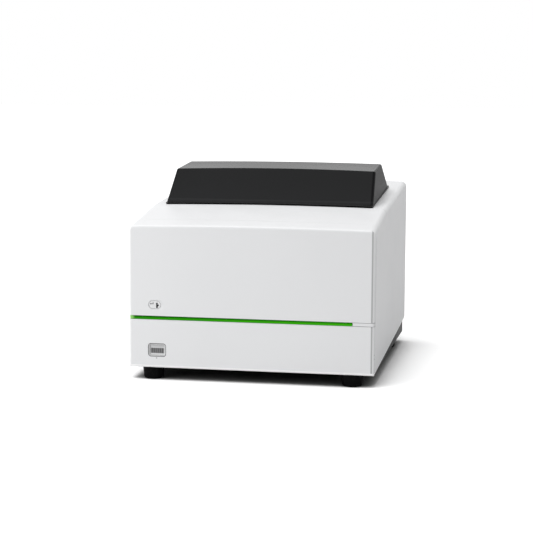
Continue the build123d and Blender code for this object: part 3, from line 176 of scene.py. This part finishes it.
def surface(name, colour, rough, metal=0.0, vary=0.03, patch=9.0, grain=900.0, grain_depth=0.0,
            rough_spread=0.05, stretch=(1.0, 1.0, 1.0), specular=0.5, coat=0.0, marks=()):
    """A finish: cloudy colour, uneven gloss, a fine grain, and marks of (mask function, colour)."""
    material, tree, shader = new_material(name)
    cloud = noise(tree, patch, 4.0, stretch)
    paint = ramp(tree, cloud, ((0.3, shade(colour, 1.0 - vary)), (0.7, shade(colour, 1.0 + vary))))
    for mask, other in marks:
        paint = tint(tree, paint, mask(tree), other)
    tree.links.new(paint, shader.inputs["Base Color"])
    smear = noise(tree, patch * 6.0, 5.0, stretch)
    gloss = spread(tree, smear, rough - rough_spread, rough + rough_spread)
    tree.links.new(gloss, shader.inputs["Roughness"])
    shader.inputs["Metallic"].default_value = metal
    shader.inputs["Specular IOR Level"].default_value = specular
    shader.inputs["Coat Weight"].default_value = coat
    shader.inputs["Coat Roughness"].default_value = 0.1
    if grain_depth:
        bump(tree, shader, noise(tree, grain, 2.0, stretch), 0.35, grain_depth)
    material.diffuse_color = (*colour, 1.0)
    return material


# ---------------------------------------------------------------- casing finishes
WHITE = (0.80, 0.805, 0.815)
WHITE_LOOK = dict(vary=0.012, patch=3.0, grain=1400.0, grain_depth=0.00004, specular=0.3)
X, Y, Z = (1, 0, 0), (0, 1, 0), (0, 0, 1)
SEAM_FOOT = FRONT + 4.0 * MM
SEAM_SLOPE = 15.2 / 280.0
SIDE_FOOT_RISE = 30.0 / 590.0
DOT = (-194.4 * MM, 45.0 * MM)
RIB_PITCH = 4.2 * MM
ARROW_X = -203.6 * MM
PLATE_MARK_X = -192.4 * MM
LATCH_MARKS_Z = (59 * MM, 67 * MM)


def seam_distance(tree):
    """How far behind the side seam, which leans back towards the top."""
    return along(tree, (0, 1, -SEAM_SLOPE), SEAM_FOOT + 0.25 * MM - SEAM_SLOPE * DOOR[0][2])


def seam_mask(tree):
    below = spread(tree, along(tree, Z), 1.0, 0.0, (300 * MM, 304 * MM))
    line = band(tree, seam_distance(tree), 0.0, 0.6 * MM, 1.0 * MM)
    return math_node(tree, "MULTIPLY", both(tree, line, below), 0.85)


def corner_mask(tree):
    """Soft shade where the face turns into its right corner."""
    line = band(tree, along(tree, X), 247.2 * MM, 0.4 * MM, 2.2 * MM)
    face = spread(tree, along(tree, Y), 1.0, 0.0, (FRONT + 1.5 * MM, FRONT + 3.0 * MM))
    return math_node(tree, "MULTIPLY", both(tree, line, face), 0.75)


# Painted highlight: the fascia and door turn lighter along their left corner.
def left_corner_highlight_mask(tree):
    return spread(tree, along(tree, X), 1.0, 0.0, (LEFT + 3 * MM, LEFT + 6 * MM))


# Painted highlight along the door's rounded bottom edge.
def foot_edge_highlight_mask(tree):
    return band(tree, along(tree, Z), DOOR[0][2] + 2.2 * MM, 2.2 * MM, 1.2 * MM)


def spot(tree, x, y, z, radius):
    """1 within a small ball."""
    place = tree.nodes.new("ShaderNodeTexCoord")
    away = tree.nodes.new("ShaderNodeVectorMath")
    away.operation = "DISTANCE"
    tree.links.new(place.outputs["Object"], away.inputs[0])
    away.inputs[1].default_value = (x, y, z)
    return spread(tree, away.outputs["Value"], 1.0, 0.0, (radius * 0.6, radius * 1.2))


def hook_mask(tree):
    """Shade where the groove turns up into the side seam."""
    return spot(tree, RIGHT, FRONT + 6.5 * MM, DOOR[1][2] + 7.5 * MM, 3.2 * MM)


def door_dot_mask(tree):
    return spot(tree, DOT[0], FRONT, DOT[1], 1.3 * MM)


def latch_marks_mask(tree):
    """Two tiny marks on the door's right return."""
    marks = [spot(tree, RIGHT, FRONT + 3.6 * MM, z, 1.7 * MM) for z in LATCH_MARKS_Z]
    return math_node(tree, "MULTIPLY", math_node(tree, "MAXIMUM", *marks), 0.8)


def side_foot_highlight_mask(tree):
    """Painted highlight along the rounded lower edge of a side panel, which rises towards the rear."""
    along_foot = along(tree, (0, -SIDE_FOOT_RISE, 1), SIDE[0][2] - SIDE_FOOT_RISE * FRONT)
    return band(tree, along_foot, 1.8 * MM, 2.0 * MM, 1.4 * MM)


def seam_and_crease_shade_mask(tree):
    """Dark line along the seam between the top covers, with painted shade of the crease there; it shows only
    on the shoulders.
    """
    line = band(tree, along(tree, Y), CREASE, 0.35 * MM, 0.7 * MM)
    shoulder = spread(tree, math_node(tree, "ABSOLUTE", along(tree, X)), 0.0, 1.0, (242 * MM, 247 * MM))
    return math_node(tree, "MULTIPLY", both(tree, line, shoulder), 0.55)


def white_panels():
    """The casing's white plastic, with each moulding's own seams and marks, and painted shade and painted
    highlights along its corners and edges.
    """
    # shadow is painted shade at the corners, the groove's hook and the crease, and also the dark seam lines
    # and small marks; light and bright are painted highlights.
    shadow, light, bright = (0.26, 0.26, 0.265), (0.93, 0.93, 0.935), (1.0, 1.0, 1.0)
    face = [(corner_mask, shadow), (left_corner_highlight_mask, light), (seam_mask, shadow)]
    return {
        "front_panel_upper": surface("white_fascia", WHITE, 0.42, **WHITE_LOOK,
                                     marks=face + [(hook_mask, shadow)]),
        "plate_door": surface("white_door", WHITE, 0.42, **WHITE_LOOK,
                              marks=face + [(foot_edge_highlight_mask, bright), (door_dot_mask, shadow),
                                            (latch_marks_mask, shadow)]),
        "side_panel_left": surface("white_side_left", WHITE, 0.42, **WHITE_LOOK,
                                   marks=[(side_foot_highlight_mask, bright)]),
        "side_panel_right": surface("white_side_right", WHITE, 0.42, **WHITE_LOOK,
                                    marks=[(seam_mask, shadow), (side_foot_highlight_mask, bright),
                                           (latch_marks_mask, shadow), (hook_mask, shadow)]),
        "front_top_cover": surface("white_front_top", WHITE, 0.42, **WHITE_LOOK,
                                   marks=[(seam_and_crease_shade_mask, shadow)]),
        "rear_top_cover": surface("white_rear_top", WHITE, 0.42, **WHITE_LOOK,
                                  marks=[(seam_and_crease_shade_mask, shadow)]),
    }


# ---------------------------------------------------------------- hood finish
REAR_SLOPE = 33.0 / 406.0


def hood_plastic():
    """Dark plastic with painted light: a streaked painted sheen on the top, a painted black shadow along the
    foot with a faint painted highlight line over it, and walls painted lighter towards the foot.
    """
    material, tree, shader = new_material("hood_plastic")
    cloud = noise(tree, 5.0, 4.0)
    paint = ramp(tree, cloud, ((0.3, (0.0038, 0.0040, 0.0044)), (0.7, (0.0056, 0.0058, 0.0064))))
    over_cover = along(tree, (0, -REAR_SLOPE, 1), HOOD[0][2] - REAR_SLOPE * HOOD[0][1])
    # Painted light: the walls lighter towards the foot, then a painted highlight line 9 mm up and a painted
    # black shadow along the foot.
    paint = tint(tree, paint, spread(tree, over_cover, 0.45, 0.0, (0.0, 60 * MM)), (0.010, 0.0105, 0.0115))
    paint = tint(tree, paint, band(tree, over_cover, 9.0 * MM, 0.4 * MM, 2.0 * MM), (0.013, 0.0135, 0.0145))
    paint = tint(tree, paint, band(tree, over_cover, 1.2 * MM, 2.6 * MM, 1.0 * MM), (0.001, 0.001, 0.001))
    place = tree.nodes.new("ShaderNodeTexCoord")
    lift = tree.nodes.new("ShaderNodeSeparateXYZ")
    tree.links.new(place.outputs["Normal"], lift.inputs[0])
    upward = spread(tree, lift.outputs["Z"], 0.0, 1.0, (0.93, 0.985))
    sideways = spread(tree, math_node(tree, "ABSOLUTE", lift.outputs["X"]), 0.0, 0.06, (0.6, 0.9))
    streak = noise(tree, 260.0, 4.0, (0.012, 1.0, 1.0), 0.6)
    sunlit = spread(tree, along(tree, Y), 1.0, 0.12, (HOOD[0][1] + 60 * MM, HOOD[1][1] - 85 * MM))
    outward = spread(tree, math_node(tree, "ABSOLUTE", along(tree, X, -30 * MM)), 0.55, 1.0, (0.0, 190 * MM))
    # Painted sheen: a streaked lighter tone on the upward faces, strongest towards the front and the ends,
    # standing in for reflected light.
    painted_sheen = both(tree, upward, spread(tree, streak, 0.7, 1.0, (0.3, 0.7)), sunlit, outward)
    paint = tint(tree, paint, painted_sheen, (0.075, 0.076, 0.078))
    tree.links.new(paint, shader.inputs["Base Color"])
    smear = math_node(tree, "MULTIPLY", spread(tree, streak, -0.12, -0.06), upward)
    rough = math_node(tree, "ADD", math_node(tree, "ADD", smear, 0.3), sideways)
    tree.links.new(rough, shader.inputs["Roughness"])
    shader.inputs["Specular IOR Level"].default_value = 0.035
    bump(tree, shader, noise(tree, 1200.0, 2.0), 0.3, 0.00003)
    material.diffuse_color = (0.01, 0.01, 0.011, 1.0)
    return material


def strip_plastic():
    """Green strip with painted light: painted shade under its upper edge, painted light lower down and
    towards the right, and a paler left end.
    """
    material, tree, shader = new_material("green_strip")
    height = spread(tree, along(tree, Z), 1.0, 0.0, (STRIP[0][2] + 1.5 * MM, STRIP[1][2] - 1.0 * MM))
    length = spread(tree, along(tree, X), 0.0, 1.0, (STRIP[0][0], STRIP[1][0]))
    cloud = noise(tree, 30.0, 3.0)
    rise = math_node(tree, "MULTIPLY", height, 0.55)
    level = math_node(tree, "ADD", rise, math_node(tree, "MULTIPLY", length, 0.35))
    level = math_node(tree, "ADD", level, math_node(tree, "MULTIPLY", cloud, 0.1))
    deep, middle, bright = (0.006, 0.11, 0.002), (0.018, 0.26, 0.003), (0.055, 0.50, 0.006)
    paint = ramp(tree, level, ((0.0, deep), (0.45, middle), (1.0, bright)))
    left_end = spread(tree, along(tree, X), 1.0, 0.0, (STRIP[0][0] + 4 * MM, STRIP[0][0] + 12 * MM))
    paint = tint(tree, paint, left_end, (0.30, 0.66, 0.17))
    tree.links.new(paint, shader.inputs["Base Color"])
    tree.links.new(spread(tree, cloud, 0.2, 0.3), shader.inputs["Roughness"])
    shader.inputs["Specular IOR Level"].default_value = 0.02
    material.diffuse_color = (0.03, 0.35, 0.005, 1.0)
    return material


def hatch_mask(tree):
    """Faint upright hatch on the tray's side towards the rear."""
    wave = tree.nodes.new("ShaderNodeTexWave")
    wave.bands_direction = "Y"
    wave.inputs["Scale"].default_value = 44.0
    place = tree.nodes.new("ShaderNodeTexCoord")
    tree.links.new(place.outputs["Object"], wave.inputs["Vector"])
    stretch = spread(tree, along(tree, Y), 0.0, 1.0, (120 * MM, 200 * MM))
    return both(tree, stretch, spread(tree, wave.outputs["Fac"], 0.35, 1.0, (0.3, 0.6)))


# Painted light: the tray's side lighter towards the rear.
def tray_tail_light_mask(tree):
    return math_node(tree, "MULTIPLY", spread(tree, along(tree, Y), 0.0, 1.0, (60 * MM, 270 * MM)), 0.6)


def rocker_marks():
    """Darker ribbed grip across the rocker's middle, lighter ends."""
    middle = (ROCKER[0][2] + ROCKER[1][2]) / 2 - 1.5 * MM
    centre = (ROCKER[0][0] + ROCKER[1][0]) / 2

    def grip(tree):
        across = band(tree, along(tree, Z), middle, 4.6 * MM, 1.4 * MM)
        return both(tree, across, band(tree, along(tree, X), centre, 13.2 * MM, 1.2 * MM))

    def ribs(tree):
        wave = tree.nodes.new("ShaderNodeTexWave")
        wave.inputs["Scale"].default_value = math.pi / 10 / RIB_PITCH
        place = tree.nodes.new("ShaderNodeTexCoord")
        tree.links.new(place.outputs["Object"], wave.inputs["Vector"])
        return both(tree, grip(tree), spread(tree, wave.outputs["Fac"], 0.0, 0.7))

    def crown(tree):
        upper = spread(tree, along(tree, Z), 0.0, 1.0, (middle + 5 * MM, middle + 11 * MM))
        return math_node(tree, "MULTIPLY", upper, 0.5)

    return [(crown, (0.44, 0.44, 0.445)), (grip, (0.24, 0.24, 0.243)), (ribs, (0.075, 0.075, 0.077))]


def cap_marks():
    # Painted shade round the cap's rounded left end.
    def left_end(tree):
        return spread(tree, along(tree, X), 0.9, 0.0, (CAP[0][0] + 1.5 * MM, CAP[0][0] + 4.5 * MM))
    return [(left_end, (0.22, 0.22, 0.225))]


MATERIALS = {
    "white_plastic": surface("white_plastic", WHITE, 0.42, **WHITE_LOOK),
    "hood_plastic": hood_plastic(),
    "green_strip": strip_plastic(),
    "tray_paint": surface("tray_paint", (0.010, 0.010, 0.011), 0.5, vary=0.1, patch=20.0, grain=900.0,
                          grain_depth=0.0001, specular=0.12,
                          marks=[(tray_tail_light_mask, (0.10, 0.10, 0.10)), (hatch_mask, (0.10, 0.10, 0.102))]),
    "rear_paint": surface("rear_paint", (0.62, 0.63, 0.64), 0.45, vary=0.02, patch=8.0,
                          grain=1100.0, grain_depth=0.00008),
    "foot_rubber": surface("foot_rubber", (0.003, 0.003, 0.0032), 0.5, vary=0.2, patch=60.0,
                           grain=1500.0, grain_depth=0.0001, specular=0.04),
    "seal_foam": surface("seal_foam", (0.018, 0.018, 0.019), 0.9, vary=0.25, patch=200.0,
                         grain=2500.0, grain_depth=0.0003),
    "zinc_steel": surface("zinc_steel", (0.56, 0.57, 0.58), 0.34, metal=1.0, vary=0.06, patch=40.0,
                          rough_spread=0.08),
    "dark_steel": surface("dark_steel", (0.03, 0.03, 0.032), 0.4, vary=0.1, patch=30.0,
                          grain=1200.0, grain_depth=0.00006),
    "polished_steel": surface("polished_steel", (0.7, 0.71, 0.73), 0.14, metal=1.0, vary=0.03, patch=60.0,
                              rough_spread=0.04, stretch=(1.0, 0.1, 1.0)),
    "frame_aluminium": surface("frame_aluminium", (0.62, 0.63, 0.64), 0.36, metal=1.0, vary=0.05, patch=50.0,
                               rough_spread=0.08, stretch=(1.0, 0.15, 1.0)),
    "carrier_aluminium": surface("carrier_aluminium", (0.05, 0.05, 0.055), 0.38, metal=0.6,
                                 vary=0.08, patch=40.0),
    "slide_aluminium": surface("slide_aluminium", (0.45, 0.46, 0.48), 0.35, metal=1.0, vary=0.05, patch=50.0),
    "lamp_aluminium": surface("lamp_aluminium", (0.12, 0.12, 0.13), 0.42, metal=0.8, vary=0.08, patch=40.0),
    "laser_aluminium": surface("laser_aluminium", (0.4, 0.41, 0.43), 0.5, metal=1.0, vary=0.05, patch=40.0,
                               grain=1500.0, grain_depth=0.00005),
    "deck_black": surface("deck_black", (0.02, 0.02, 0.021), 0.6, vary=0.15, patch=25.0,
                          grain=1200.0, grain_depth=0.00008),
    "detector_grey": surface("detector_grey", (0.17, 0.18, 0.195), 0.42, vary=0.12, patch=120.0,
                             grain=320.0, grain_depth=0.0003),
    "module_blue": surface("module_blue", (0.05, 0.09, 0.22), 0.36, metal=0.6, vary=0.08, patch=60.0),
    "bronze": surface("bronze", (0.5, 0.33, 0.14), 0.45, metal=1.0, vary=0.1, patch=160.0),
    "motor_black": surface("motor_black", (0.02, 0.02, 0.022), 0.32, vary=0.12, patch=40.0),
    "belt_rubber": surface("belt_rubber", (0.016, 0.016, 0.017), 0.75, vary=0.2, patch=90.0,
                           grain=1500.0, grain_depth=0.0001),
    "circuit_board": surface("circuit_board", (0.012, 0.11, 0.035), 0.32, vary=0.2, patch=180.0, coat=0.2),
    "inlet_black": surface("inlet_black", (0.018, 0.018, 0.019), 0.45, vary=0.15, patch=60.0,
                           grain=1200.0, grain_depth=0.00006),
    "switch_grey": surface("switch_grey", (0.16, 0.16, 0.165), 0.5, vary=0.04, patch=30.0,
                           grain=1400.0, grain_depth=0.00004),
    "rocker_grey": surface("rocker_grey", (0.66, 0.665, 0.67), 0.42, vary=0.03, patch=60.0,
                           grain=1400.0, grain_depth=0.00004, specular=0.3, marks=rocker_marks()),
    "button_plastic": surface("button_plastic", (0.78, 0.785, 0.79), 0.3, vary=0.02, patch=60.0,
                              marks=cap_marks()),
    "filter_glass": surface("filter_glass", (0.28, 0.14, 0.34), 0.08, vary=0.2, patch=60.0, rough_spread=0.02,
                            coat=0.6),
    "symbol_ink": surface("symbol_ink", (0.035, 0.035, 0.037), 0.5, vary=0.1, patch=300.0, specular=0.1),
    "groove_grey": surface("groove_grey", (0.045, 0.045, 0.046), 0.5, vary=0.08, patch=200.0, specular=0.2),
    "pale_ink": surface("pale_ink", (0.22, 0.22, 0.225), 0.5, vary=0.08, patch=300.0, specular=0.1),
    "bezel_plastic": surface("bezel_plastic", (0.86, 0.865, 0.87), 0.35, vary=0.02, patch=80.0, specular=0.3),
}


def dress_nodes():
    """Every solid takes the finish of its record slot, and the casing's mouldings their own."""
    panels = white_panels()
    for entry in frame["record"]["subparts"]:
        node = frame["nodes"][entry["node"]]
        node.data.materials.clear()
        node.data.materials.append(panels.get(entry["node"], MATERIALS[entry["material_slot"]]))


# ---------------------------------------------------------------- piece helpers


def add_piece(name, mesh, material, body, bevel=0.0):
    """A new piece that rides on a body, with an optional small edge rounding."""
    bmesh.ops.recalc_face_normals(mesh, faces=mesh.faces)
    data = bpy.data.meshes.new(name)
    mesh.to_mesh(data)
    mesh.free()
    piece = bpy.data.objects.new(name, data)
    bpy.context.collection.objects.link(piece)
    piece.data.materials.append(MATERIALS[material])
    if bevel:
        rounding = piece.modifiers.new("edges", "BEVEL")
        rounding.width = bevel
        rounding.segments = 3
        rounding.limit_method = "ANGLE"
        rounding.harden_normals = True
    piece.data.shade_smooth()
    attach(piece, body)
    return piece


def rounded(width, height, radius, steps=8):
    """Outline of a rounded rectangle round the origin, anticlockwise."""
    points = []
    for number, (sx, sy) in enumerate(((1, 1), (-1, 1), (-1, -1), (1, -1))):
        for step in range(steps + 1):
            angle = math.radians(90 * number + 90 * step / steps)
            points.append((sx * (width / 2 - radius) + radius * math.cos(angle),
                           sy * (height / 2 - radius) + radius * math.sin(angle)))
    return points


def prism(mesh, outline, place, hole=None):
    """Closed prism of an outline, with an optional hole of as many points.

    place(u, v, level) gives a corner.
    """
    count = len(outline)
    rings = []
    for loop in (outline, hole) if hole else (outline,):
        rings.append([[mesh.verts.new(place(u, v, level)) for u, v in loop] for level in (0, 1)])
    for low, high in rings:
        for k in range(count):
            mesh.faces.new((low[k], low[(k + 1) % count], high[(k + 1) % count], high[k]))
    for level in (0, 1):
        outer = rings[0][level]
        if not hole:
            mesh.faces.new(outer)
            continue
        inner = rings[1][level]
        for k in range(count):
            mesh.faces.new((outer[k], outer[(k + 1) % count], inner[(k + 1) % count], inner[k]))


def facing_front(x, z, y_face, y_back):
    return lambda u, v, level: (x + u, (y_face, y_back)[level], z + v)


# ---------------------------------------------------------------- front controls


def switch_rings():
    """Rounds off the door's window, then a dark ring of painted shade in the gap round the rocker, and a pale
    rim round the rocker.
    """
    x = (ROCKER[0][0] + ROCKER[1][0]) / 2
    z = (ROCKER[0][2] + ROCKER[1][2]) / 2
    rings = (("window_corners", (38.4, 28.4, 0.6), (37.6, 27.6, 6.0), (0.25, 3.0), "white_plastic", "door"),
             ("switch_shade_ring", (37.7, 27.7, 6.0), (34.8, 24.8, 4.8), (1.6, 3.4), "groove_grey", "chassis"),
             ("switch_rim", (34.9, 24.9, 4.8), (32.4, 22.8, 3.2), (1.1, 3.4), "bezel_plastic", "chassis"))
    for name, outer, hole, depth, material, body in rings:
        mesh = bmesh.new()
        place = facing_front(x, z, FRONT + depth[0] * MM, FRONT + depth[1] * MM)
        prism(mesh, rounded(*(size * MM for size in outer)), place, rounded(*(size * MM for size in hole)))
        add_piece(name, mesh, material, body)


def button_symbols():
    """Plain marks on the load button: an arrow and a plate standing on its edge."""
    z = (CAP[0][2] + CAP[1][2]) / 2
    face, back = CAP[0][1] - 0.02 * MM, CAP[0][1] + 0.3 * MM
    arrow = [(-4.6, 0.0), (-2.2, 2.4), (-2.2, 0.8), (1.6, 0.8), (1.6, 3.4),
             (3.2, 3.4), (3.2, -0.8), (-2.2, -0.8), (-2.2, -2.4)]
    mesh = bmesh.new()
    prism(mesh, [(u * MM, v * MM) for u, v in arrow], facing_front(ARROW_X, z + 2.0 * MM, face, back))
    add_piece("button_arrow", mesh, "pale_ink", "button")
    plate = [(-2.6, 5.2), (0.8, 5.2), (0.8, 1.6), (3.0, 1.6),
             (3.0, -1.8), (0.8, -1.8), (0.8, -5.4), (-2.6, -5.4)]
    mesh = bmesh.new()
    prism(mesh, [(u * MM, v * MM) for u, v in plate], facing_front(PLATE_MARK_X, z - 1.0 * MM, face, back))
    add_piece("button_plate_mark", mesh, "symbol_ink", "button")


# ---------------------------------------------------------------- floor, light and camera


def light_path(tree, *kinds):
    """1 for any of the named kinds of ray."""
    rays = tree.nodes.new("ShaderNodeLightPath")
    result = rays.outputs[kinds[0]]
    for kind in kinds[1:]:
        result = math_node(tree, "MAXIMUM", result, rays.outputs[kind])
    return result


def stage_setting():
    bpy.ops.mesh.primitive_plane_add(size=60.0, location=(0.0, 0.0, 0.0))
    floor = bpy.context.object
    floor.name = "floor"
    material, tree, shader = new_material("floor")
    paint = ramp(tree, noise(tree, 0.7, 2.0), ((0.3, (0.78, 0.78, 0.78)), (0.7, (0.79, 0.79, 0.79))))
    seen = tree.nodes.new("ShaderNodeVectorMath")
    seen.operation = "SCALE"
    tree.links.new(paint, seen.inputs[0])
    # Painted contact shadow: ambient occlusion darkens the floor's colour under and round the object.
    contact_shadow = tree.nodes.new("ShaderNodeAmbientOcclusion")
    contact_shadow.inputs["Distance"].default_value = 100 * MM
    contact_shadow.samples = 24
    lift = spread(tree, light_path(tree, "Is Camera Ray"), 1.0, 1.72, (0.0, 1.0))
    open_floor = spread(tree, contact_shadow.outputs["AO"], 0.15, 1.0, (0.08, 0.78))
    tree.links.new(math_node(tree, "MULTIPLY", lift, open_floor), seen.inputs["Scale"])
    tree.links.new(seen.outputs[0], shader.inputs["Base Color"])
    shader.inputs["Roughness"].default_value = 0.9
    shader.inputs["Specular IOR Level"].default_value = 0.0
    floor.data.materials.append(material)

    world = bpy.context.scene.world or bpy.data.worlds.new("world")
    bpy.context.scene.world = world
    world.use_nodes = True
    tree = world.node_tree
    background = tree.nodes["Background"]
    background.inputs["Color"].default_value = (1.0, 1.0, 1.0, 1.0)
    seen = light_path(tree, "Is Camera Ray", "Is Glossy Ray", "Is Transmission Ray")
    tree.links.new(spread(tree, seen, 0.36, 1.0, (0.0, 1.0)), background.inputs["Strength"])


def sun(name, direction, strength, angle):
    light = bpy.data.lights.new(name, "SUN")
    light.energy = strength
    light.angle = math.radians(angle)
    lamp = bpy.data.objects.new(name, light)
    bpy.context.collection.objects.link(lamp)
    lamp.rotation_mode = "QUATERNION"
    lamp.rotation_quaternion = Vector(direction).to_track_quat("Z", "Y")


def panel_light(name, place, target, size, power):
    light = bpy.data.lights.new(name, "AREA")
    light.shape = "SQUARE"
    light.size = size
    light.energy = power
    lamp = bpy.data.objects.new(name, light)
    bpy.context.collection.objects.link(lamp)
    lamp.location = place
    lamp.rotation_mode = "QUATERNION"
    lamp.rotation_quaternion = (Vector(place) - Vector(target)).to_track_quat("Z", "Y")


def camera():
    yaw, pitch, roll = 0.19157444, 0.12116347, 0.00446728
    forward = Vector((-math.sin(yaw) * math.cos(pitch), math.cos(yaw) * math.cos(pitch), -math.sin(pitch)))
    right = Vector((math.cos(yaw), math.sin(yaw), 0.0))
    up = right.cross(forward)
    across = right * math.cos(roll) + up * math.sin(roll)
    above = up * math.cos(roll) - right * math.sin(roll)
    data = bpy.data.cameras.new("camera")
    data.lens = 103.83
    data.sensor_width = 36.0
    data.clip_start = 0.05
    data.clip_end = 100.0
    item = bpy.data.objects.new("camera", data)
    bpy.context.collection.objects.link(item)
    turn = Matrix((across, above, -forward)).transposed().to_4x4()
    turn.translation = Vector((0.6155836, -3.2947692, 0.6117488))
    item.matrix_world = turn
    bpy.context.scene.camera = item


dress_nodes()
switch_rings()
button_symbols()
stage_setting()
sun("key", (-0.2, -0.17, 1.0), 2.05, 50.0)
panel_light("left_card", (-1.3, -1.5, 0.9), (-0.1, -0.2, 0.2), 1.0, 9.5)
camera()
bpy.context.scene.view_settings.view_transform = "Standard"
